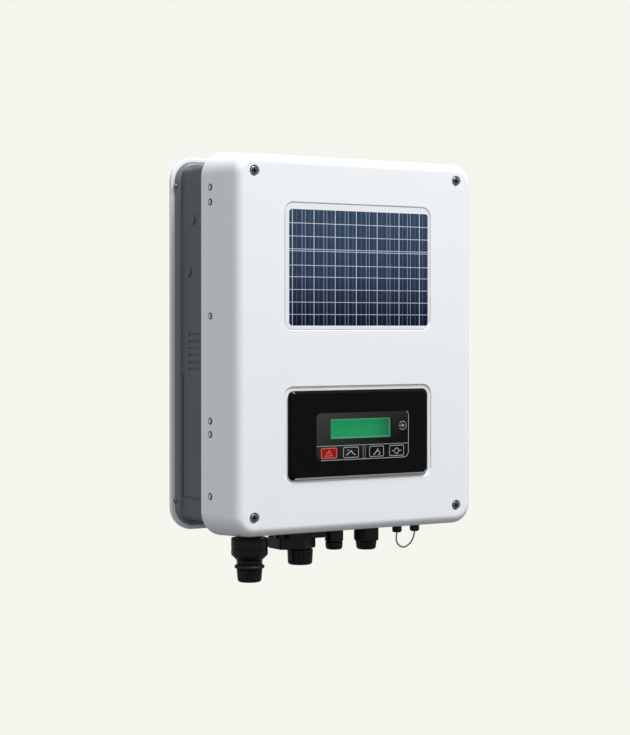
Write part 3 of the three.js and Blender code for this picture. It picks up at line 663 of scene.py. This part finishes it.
def soft_recess(bm, place, depth, lip=0.7):
    """Rings that go from the front face down into a recess over two small rounds."""
    steps = 4
    path = []
    for step in range(steps + 1):
        turn = step / steps * math.pi / 2
        path.append((lip * math.sin(turn), lip * (1 - math.cos(turn)) * depth / (2 * lip)))
    low = [(2 * lip - offset, depth - drop) for offset, drop in reversed(path)]
    rings = []
    for offset, drop in path + low[1:]:
        outline = rounded_outline(place["width"] - 2 * offset, place["height"] - 2 * offset,
                                  place["radius"] - offset, 10)
        rings.append(ring(bm, outline, cover_front + drop, place["x"], place["z"]))
    return rings


bm = bmesh.new()
outer = pan_rings(bm, pan_levels(cover_rear, cover_front, cover_draft, front_fillet, 16),
                  body_width, body_height, corner_radius, lowering=cover_lowering)
inner = pan_rings(bm, pan_levels(cover_rear, cover_front + cover_wall, cover_draft,
                                 front_fillet - cover_wall, 8),
                  body_width, body_height, corner_radius, cover_wall, cover_lowering)
bridge(bm, outer)
bridge(bm, inner)
bridge(bm, [outer[0], inner[0]])
badge_rings = soft_recess(bm, badge, recess_depth)
display_rings = soft_recess(bm, display_recess, recess_depth)
bridge(bm, badge_rings)
bridge(bm, display_rings)
fill(bm, badge_rings[-1])
hole_outline = rounded_outline(display_hole["width"], display_hole["height"], display_hole["radius"], 6)
hole = [ring(bm, hole_outline, y, display_hole["x"], display_hole["z"])
        for y in (cover_front + recess_depth, cover_front + cover_wall)]
bridge(bm, hole)
fill(bm, display_rings[-1], hole[0])
seats = []
bores = []
for sign_x in (-1, 1):
    for sign_z in (-1, 1):
        spot = (sign_x * cover_screw["x"], sign_z * cover_screw["z"])
        seat = cover_screw["seat"]
        levels = [(seat + 0.3, 0), (seat + 0.1, 0.1), (seat, 0.3), (seat, cover_screw["depth"]),
                  (cover_screw["bore"], cover_screw["depth"]), (cover_screw["bore"], cover_wall)]
        rings = [ring(bm, circle_outline(radius), cover_front + depth, *spot) for radius, depth in levels]
        bridge(bm, rings)
        seats.append(rings[0])
        bores.append(rings[-1])
fill(bm, outer[-1], badge_rings[0], display_rings[0], *seats)
fill(bm, inner[-1], hole[1], *bores)
front_cover = make_piece("cover_shell", bm, "cover", white_coat, ["front_cover"], angle=40)


def carve(piece, low, high):
    """Cuts a block, given by two corners in mm, out of a piece and keeps the result as its mesh."""
    block = bmesh.new()
    bmesh.ops.create_cube(block, size=1)
    for vert in block.verts:
        vert.co = [((a + b) / 2 + (b - a) * c) * MM for a, b, c in zip(low, high, vert.co)]
    mesh = bpy.data.meshes.new("cutter")
    block.to_mesh(mesh)
    block.free()
    cutter = bpy.data.objects.new("cutter", mesh)
    scene.collection.objects.link(cutter)
    boolean = piece.modifiers.new("notch", "BOOLEAN")
    boolean.object = cutter
    boolean.solver = "EXACT"
    piece.modifiers.move(len(piece.modifiers) - 1, 0)
    weighted = piece.modifiers["normals"]
    weighted.show_viewport = False
    result = bpy.data.meshes.new_from_object(piece.evaluated_get(bpy.context.evaluated_depsgraph_get()))
    weighted.show_viewport = True
    piece.modifiers.remove(boolean)
    piece.data = result
    bpy.data.objects.remove(cutter)


notch = {"half": 110.6, "depth": 47, "top": -158}
carve(front_cover, (-notch["half"], cover_rear - notch["depth"], cover_low[2] - 5),
      (notch["half"], cover_rear + 5, notch["top"]))


# ---- Rivets and cover screws -------------------------------------------------------------
# Aluminium blind rivets hold the guide strips inside the skirt, six on each side; four zinc
# plated steel screws with a cross recess hold the cover, sunk in their seats.
rivet_metal = surface("blind rivet aluminium", "#d4d7d9", 0.42, 0.6, grain=0.5, relief=0.02)
# A dark ring round each rivet head is painted shade, standing for the shadow in the gap round the head.
rivet_shade_ring = surface("painted shade round the rivet head", "#3a3d40", 0.5, 0.8, grain=0.5, relief=0.02)
rivet_levels = (141.8, 128.3, 25.5, -69.3, -81.4, -137.4)
rivet_profile = [(0, -3), (1.6, -3), (1.6, 0), (3.2, 0), *arc(2.7, 0.1, 0.5, 0, 90, 4), (2.2, 0.55),
                 (2.0, -0.1), (1.5, -0.2), (1.2, 0.3), (0.7, 0.55), (0, 0.6)]
shade_ring_inner = 2.35
rivet_y = cover_front + 41.6
skirt_x = body_width / 2 - cover_draft * (cover_rear - rivet_y) / (cover_rear - cover_front - front_fillet)
for side, sign in (("left", -1), ("right", 1)):
    for index, level in enumerate(rivet_levels):
        bm = bmesh.new()
        turned(bm, rivet_profile, sides=32)
        # Faces outside the shade ring's inner radius take the painted shade.
        for face in bm.faces:
            centre = face.calc_center_median() / MM
            face.material_index = 1 if math.hypot(centre.x, centre.y) > shade_ring_inner else 0
        for vert in bm.verts:
            x, y, z = vert.co
            vert.co = (sign * (z + (skirt_x - 0.1) * MM), rivet_y * MM + x, level * MM + y)
        rivet = make_piece(f"rivet_{side}_{index + 1}", bm, "cover", rivet_metal)
        rivet.data.materials.append(rivet_shade_ring)
corner_screws("face_screw", (cover_screw["x"], cover_front + 2.48, cover_screw["z"]), (0, -1),
              cover_screw["sizes"], "cover", "cover_screw")


# ---- Badge -------------------------------------------------------------------------------
# A printed polyester label on a thin plate: rows of dark blue solar cells with pale printed
# conductors, inside a white margin, under a clear gloss laminate.
picture = {"left": -75.4, "right": 78.6, "bottom": 16.8, "top": 122}
column_lines = (-72, -49, -26, -2.8, 20.5, 45.2, 68.6)
row_lines = (109.5, 97.6, 86.1, 84.3, 71.4, 60.9, 49.4, 38, 26.9)
cell_pitch = 23.3


def cell_print():
    material, tree = new_tree("printed polyester label, solar cells")
    place, (across, depth, up) = axes_in_mm(tree)
    fade = node(tree, "MapRange", {"Value": up, "From Min": picture["bottom"], "From Max": picture["top"]})
    shade = node(tree, "ValToRGB", {"Fac": fade.outputs[0]})
    for position, code in ((0.0, "#07162a"), (1.0, "#33485f"), (0.42, "#2d3852")):
        stops = shade.color_ramp.elements
        stop = stops[int(position)] if position in (0.0, 1.0) else stops.new(position)
        stop.color = colour(code)
    crystal = node(tree, "TexVoronoi", {"Vector": place, "Scale": 0.35})
    grains = node(tree, "MapRange", {"Value": crystal.outputs["Distance"], "To Min": 0.9, "To Max": 1.12})
    tinted = node(tree, "VectorMath", {0: shade.outputs[0], "Scale": grains.outputs[0]}, operation="SCALE")
    cell = node(tree, "Math", {0: across, 1: column_lines[0]}, operation="SUBTRACT")
    within = node(tree, "Math", {0: cell.outputs[0], 1: cell_pitch}, operation="FLOORED_MODULO")
    marks = [(lines_mask(tree, across, column_lines, 0.3, 0.1), 1.0),
             (lines_mask(tree, up, row_lines, 0.26, 0.1), 0.95),
             (lines_mask(tree, within.outputs[0], (0.44 * cell_pitch, 0.59 * cell_pitch), 0.25), 0.5),
             (lines_mask(tree, within.outputs[0], (0.2 * cell_pitch, 0.81 * cell_pitch), 0.2), 0.18)]
    lines = None
    for mask, share in marks:
        soft = node(tree, "Math", {0: mask, 1: share}, operation="MULTIPLY")
        lines = soft.outputs[0] if lines is None else node(
            tree, "Math", {0: lines, 1: soft.outputs[0]}, operation="MAXIMUM").outputs[0]
    pale = node(tree, "Mix", {"Factor": fade.outputs[0], 6: colour("#c0ccdb"), 7: colour("#e0e7ef")},
                data_type="RGBA")
    ink = node(tree, "Mix", {"Factor": lines, 6: tinted.outputs[0], 7: pale.outputs[2]}, data_type="RGBA")
    shader = node(tree, "BsdfPrincipled", {
        "Base Color": ink.outputs[2], "Roughness": 0.3, "Specular IOR Level": 0.06})
    node(tree, "OutputMaterial", {"Surface": shader.outputs[0]})
    return material


def label_layer(name, width, height, radius, front, rear, x, z, material, replaced=(), edge=0.15):
    bm = bmesh.new()
    levels = [(rear, 0), (front + edge, 0), (front + edge * 0.3, edge * 0.3), (front, edge)]
    rings = [ring(bm, rounded_outline(width - 2 * inset, height - 2 * inset, max(radius - inset, 0.2), 10),
                  y, x, z) for y, inset in levels]
    close_stack(bm, rings)
    make_piece(name, bm, "cover", material, replaced)


label_white = surface("printed polyester label, white margin", "#eef1f5", 0.3, grain=2, relief=0.004,
                      mottle=0.01)
label_layer("badge_backing", badge["width"] - 3, badge["height"] - 3, badge["radius"] - 1.5,
            cover_front + 0.4, cover_front + 0.9, badge["x"], badge["z"], label_white, ["badge_plate"])
label_layer("badge_picture", picture["right"] - picture["left"], picture["top"] - picture["bottom"], 3,
            cover_front + 0.32, cover_front + 0.38, (picture["left"] + picture["right"]) / 2,
            (picture["top"] + picture["bottom"]) / 2, cell_print(), edge=0.03)


# ---- Display front -----------------------------------------------------------------------
# A piano-black ABS moulding with a chamfered edge and a slot for the screen, polished like
# glass and glued into the cover's lower recess.
display = {"width": 154, "height": 81, "x": 0.5, "z": -82.7, "radius": 6}
display_face = cover_front - 2.5
chamfer = 3.0
piano_black = surface("piano-black ABS", "#0b0b0b", 0.12, grain=4, relief=0.004, mottle=0.05,
                      Specular_IOR_Level=0.09)


def display_outline(inset):
    return rounded_outline(display["width"] - 2 * inset, display["height"] - 2 * inset,
                           display["radius"] - inset * 0.5, 10)


bm = bmesh.new()
levels = [(cover_front + 0.9, 0), (cover_front - 0.1, 0), (cover_front - 0.5, 0.12),
          (display_face + 0.5, chamfer - 1.0), (display_face + 0.16, chamfer - 0.5), (display_face, chamfer)]
rings = [ring(bm, display_outline(inset), y, display["x"], display["z"]) for y, inset in levels]
bridge(bm, rings)
slot_outline = rounded_outline(screen["width"] + 0.6, screen["height"] + 0.6, 0.8, 4)
slot_rings = [ring(bm, slot_outline, y, screen["x"], screen["z"]) for y in (display_face, cover_front + 0.9)]
bridge(bm, slot_rings)
fill(bm, rings[-1], slot_rings[0])
fill(bm, rings[0], slot_rings[1])
make_piece("display_front", bm, "cover", piano_black, ["display_panel"], angle=25)


# ---- Screen pane -------------------------------------------------------------------------
# A thin clear polycarbonate pane let into the display front, over the screen module. It is
# nearly invisible but for a faint sheen.
pane_clear, tree = new_tree("polycarbonate pane, clear")
see_through = node(tree, "BsdfPrincipled", {"Base Color": colour("#f3f9f6"), "Roughness": 0.05,
                                            "Alpha": 0.008, "Specular IOR Level": 0.1})
node(tree, "OutputMaterial", {"Surface": see_through.outputs[0]})
soften("lcd_window", pane_clear, width=0.15)


# ---- Window print ------------------------------------------------------------------------
# A dark grey field, screen printed round the screen on the display front; it fades to black
# towards its lower right corner.
window = {"left": -48, "right": 54, "bottom": -106, "top": -63, "radius": 4.5}
window_ink, tree = new_tree("screen-printed field, smoke grey")
place, (across, depth, up) = axes_in_mm(tree)
over = node(tree, "MapRange", {"Value": across, "From Min": window["left"], "From Max": window["right"]})
fall = node(tree, "MapRange", {"Value": up, "From Min": window["bottom"], "From Max": window["top"]})
fading = node(tree, "Math", {0: over.outputs[0], 1: fall.outputs[0]}, operation="SUBTRACT")
share = node(tree, "MapRange", {"Value": fading.outputs[0], "From Min": -0.9, "From Max": 0.45})
field = node(tree, "Mix", {"Factor": share.outputs[0], 6: colour("#3a3d3c"), 7: colour("#0c0c0c")},
             data_type="RGBA")
shader = node(tree, "BsdfPrincipled", {"Base Color": field.outputs[2], "Roughness": 0.25,
                                       "Specular IOR Level": 0.12})
node(tree, "OutputMaterial", {"Surface": shader.outputs[0]})
bm = bmesh.new()
field_size = (window["right"] - window["left"], window["top"] - window["bottom"], window["radius"])
field_x = (window["left"] + window["right"]) / 2
field_z = (window["bottom"] + window["top"]) / 2
for y in (display_face - 0.02, display_face + 0.02):
    outline_ring = ring(bm, rounded_outline(*field_size, 8), y, field_x, field_z)
    opening_ring = ring(bm, slot_outline, y, screen["x"], screen["z"])
    fill(bm, outline_ring, opening_ring)
make_piece("window_print", bm, "cover", window_ink)


# ---- Printed marks -----------------------------------------------------------------------
# Pale grey lines and symbols, screen printed on the display front: a frame line, three boxed
# symbols and a round arrow, all generic. The ink lies matt on the gloss.
def stroke(bm, path, width, y, closed=False):
    """A printed line of even width along a path in X and Z, a few hundredths of a mm thick."""
    count = len(path)
    sections = []
    for i, (x, z) in enumerate(path):
        before = Vector(path[i - 1] if i or closed else path[i])
        after = Vector(path[(i + 1) % count] if i < count - 1 or closed else path[i])
        here = Vector((x, z))
        ways = [way.normalized() for way in (here - before, after - here) if way.length]
        mean = sum(ways, Vector((0, 0))).normalized()
        half = width / 2 / max(mean.dot(ways[0]), 0.5)
        side = Vector((-mean.y, mean.x)) * half
        corners = [(here + way * side, y + depth)
                   for way, depth in ((1, 0), (-1, 0), (-1, ink_depth), (1, ink_depth))]
        sections.append([bm.verts.new((spot.x * MM, depth * MM, spot.y * MM)) for spot, depth in corners])
    for first, second in zip(sections, sections[1:] + (sections[:1] if closed else [])):
        for i in range(4):
            j = (i + 1) % 4
            bm.faces.new((first[i], first[j], second[j], second[i]))
    if not closed:
        bm.faces.new(sections[0])
        bm.faces.new(sections[-1])


def bow(x, z, radius, start, end, steps=8):
    turns = [math.radians(start + (end - start) * i / steps) for i in range(steps + 1)]
    return [(x + radius * math.cos(turn), z + radius * math.sin(turn)) for turn in turns]


ink_depth = 0.05
ink_y = display_face - 0.06
pale_ink = surface("screen print, pale grey", "#a9acac", 0.5, grain=1, relief=0.002, mottle=0.05)
bm = bmesh.new()
stroke(bm, [(-48, -93), (53.6, -93)], 0.45, ink_y)
stroke(bm, [(-43, -106), *bow(48.6, -100.6, 5.4, -90, 0), *bow(50.4, -66.6, 3.6, 0, 70)], 0.55, ink_y)
for x in (2.8, 5.2):
    stroke(bm, [(x, -93.4), (x, -105.6)], 0.4, ink_y)
icon_bottom, icon_top = -104.2, -94.8


def box_path(left, right, inset):
    """A rounded box round one symbol, its sides moved in by the inset."""
    outline = rounded_outline(right - left - 2 * inset, icon_top - icon_bottom - 2 * inset, 1.0, 3)
    return [(x + (left + right) / 2, z + (icon_bottom + icon_top) / 2) for x, z in outline]


for left, right in ((-18.8, -2.3), (10.0, 25.7), (32.5, 48.4)):
    stroke(bm, box_path(left, right, 0), 0.6, ink_y, closed=True)
# In the boxes: a roof with a short bar over it, a spanner, and a ring between two leads.
stroke(bm, [(-15.6, -102), (-10.6, -98), (-8.2, -100.6), (-5.4, -102)], 0.9, ink_y)
stroke(bm, [(-14.6, -97.6), (-13.2, -97.0)], 0.8, ink_y)
stroke(bm, [(14.6, -102.6), (18.0, -99.4), (19.8, -97.0)], 1.0, ink_y)
stroke(bm, bow(20.2, -101.0, 1.5, -120, 130), 0.7, ink_y)
stroke(bm, bow(40.4, -99.8, 2.5, 200, 520, 14), 0.7, ink_y)
stroke(bm, [(35.4, -99.8), (38.0, -99.8)], 0.8, ink_y)
stroke(bm, [(43.0, -99.8), (45.8, -99.8)], 0.8, ink_y)
# A round arrow to the right of the screen.
stroke(bm, bow(47.4, -76.4, 3.9, 150, -150, 16), 0.55, ink_y)
stroke(bm, [(42.9, -76.4), (48.6, -76.4)], 0.8, ink_y)
stroke(bm, [(46.8, -74.9), (48.8, -76.4), (46.8, -77.9)], 0.7, ink_y)
make_piece("printed_marks", bm, "cover", pale_ink)


# ---- Lit warning field -------------------------------------------------------------------
# The first symbol box is printed in translucent red, with a paler warning triangle on it, and
# a red lamp behind the display front shines through both.
def lit_print(name, glow_code, strength):
    material, tree = new_tree(f"screen print over a red lamp, {name.replace('_', ' ')}")
    shader = node(tree, "BsdfPrincipled", {
        "Base Color": colour("#3a0b0a"), "Roughness": 0.4, "Emission Color": colour(glow_code),
        "Emission Strength": strength, "Specular IOR Level": 0.1})
    node(tree, "OutputMaterial", {"Surface": shader.outputs[0]})
    return material


left, right = -43.0, -26.0
bm = bmesh.new()
outline = rounded_outline(right - left, icon_top - icon_bottom, 1.2, 4)
for y in (display_face - 0.04, display_face):
    fill(bm, ring(bm, outline, y, (left + right) / 2, (icon_bottom + icon_top) / 2))
make_piece("lit_field", bm, "cover", lit_print("lit_field", "#8c1a18", 0.75))
bm = bmesh.new()
stroke(bm, box_path(left, right, 0.2), 0.8, ink_y, closed=True)
stroke(bm, [(-38.4, -102), (-34.6, -97), (-30.8, -102)], 0.8, ink_y, closed=True)
stroke(bm, [(-34.6, -98.8), (-34.6, -101)], 0.7, ink_y)
make_piece("lit_symbol", bm, "cover", lit_print("lit_symbol", "#d8605a", 0.9))


# ---- Display chamfer highlight -----------------------------------------------------------
# A painted highlight: a pale, slightly metallic satin band laid on the display front's lower
# chamfer and round its right-hand corner, standing for the light that the chamfer catches.
chamfer_highlight_paint = surface("painted highlight on the display chamfer", "#d3d6d9", 0.5, 0.3, grain=0.6, relief=0.01, mottle=0.08)
# Inset and rise of the strip's five edges on the chamfer, and the stretch of the outline, from
# the lower left corner to past the lower right one, that it covers.
strip_edges = ((0.45, 0.86), (2.0, 2.1), (2.35, 2.38), (2.25, 2.2), (0.45, 0.6))
strip_run = slice(31, 41)
bm = bmesh.new()
strip_rings = [ring(bm, display_outline(inset)[strip_run], cover_front - rise, display["x"], display["z"])
               for inset, rise in strip_edges]
for low, high in zip(strip_rings, strip_rings[1:] + strip_rings[:1]):
    for i in range(len(low) - 1):
        bm.faces.new((low[i], low[i + 1], high[i + 1], high[i]))
for end in (0, -1):
    bm.faces.new([strip[end] for strip in strip_rings])
make_piece("display_chamfer_highlight", bm, "cover", chamfer_highlight_paint)


# ---- Stage -------------------------------------------------------------------------------
# A plain pale floor well below the casing, an even studio glow that is darker from below, and
# one soft box above, to the front and right.
stage_tone = colour("#f5f6ee")
floor_reach, floor_level = 30, -1
floor_mesh = bpy.data.meshes.new("floor")
floor_mesh.from_pydata([(x * floor_reach, y * floor_reach, floor_level)
                        for x, y in ((-1, -1), (1, -1), (1, 1), (-1, 1))], [], [(0, 1, 2, 3)])
floor = bpy.data.objects.new("floor", floor_mesh)
scene.collection.objects.link(floor)
floor_paper, tree = new_tree("pale studio paper")
glow = node(tree, "Emission", {"Color": stage_tone, "Strength": 1.0})
node(tree, "OutputMaterial", {"Surface": glow.outputs[0]})
floor_mesh.materials.append(floor_paper)
floor.visible_diffuse = False
floor.visible_glossy = False
floor.visible_shadow = False

world = bpy.data.worlds.new("studio")
world.use_nodes = True
scene.world = world
tree = world.node_tree
tree.nodes.clear()
direction = node(tree, "SeparateXYZ", {0: node(tree, "TexCoord").outputs["Generated"]})
height = node(tree, "MapRange", {"Value": direction.outputs[2], "From Min": -1.0, "From Max": 1.0})
ramp = node(tree, "ValToRGB", {"Fac": height.outputs[0]})
stops = ramp.color_ramp.elements
stops[0].position, stops[0].color = 0.0, (0.10, 0.10, 0.105, 1)
stops[1].position, stops[1].color = 1.0, (0.93, 0.94, 0.97, 1)
middle = stops.new(0.5)
middle.color = (0.41, 0.415, 0.42, 1)
ambient = node(tree, "Background", {"Color": ramp.outputs[0], "Strength": 1.0})
seen = node(tree, "Background", {"Color": stage_tone, "Strength": 1.0})
rays = node(tree, "LightPath")
both = node(tree, "MixShader", {0: rays.outputs["Is Camera Ray"], 1: ambient.outputs[0], 2: seen.outputs[0]})
node(tree, "OutputWorld", {"Surface": both.outputs[0]})


key_data = bpy.data.lights.new("key", "AREA")
key_data.shape = "RECTANGLE"
key_data.size, key_data.size_y = 1.2, 0.9
key_data.energy = 90
key_light = bpy.data.objects.new("key", key_data)
key_light.location = (0.55, -1.45, 2.6)
aim = Vector((0, -0.1, 0)) - key_light.location
key_light.rotation_euler = aim.to_track_quat("-Z", "Y").to_euler()
scene.collection.objects.link(key_light)
scene.view_settings.view_transform = "Standard"
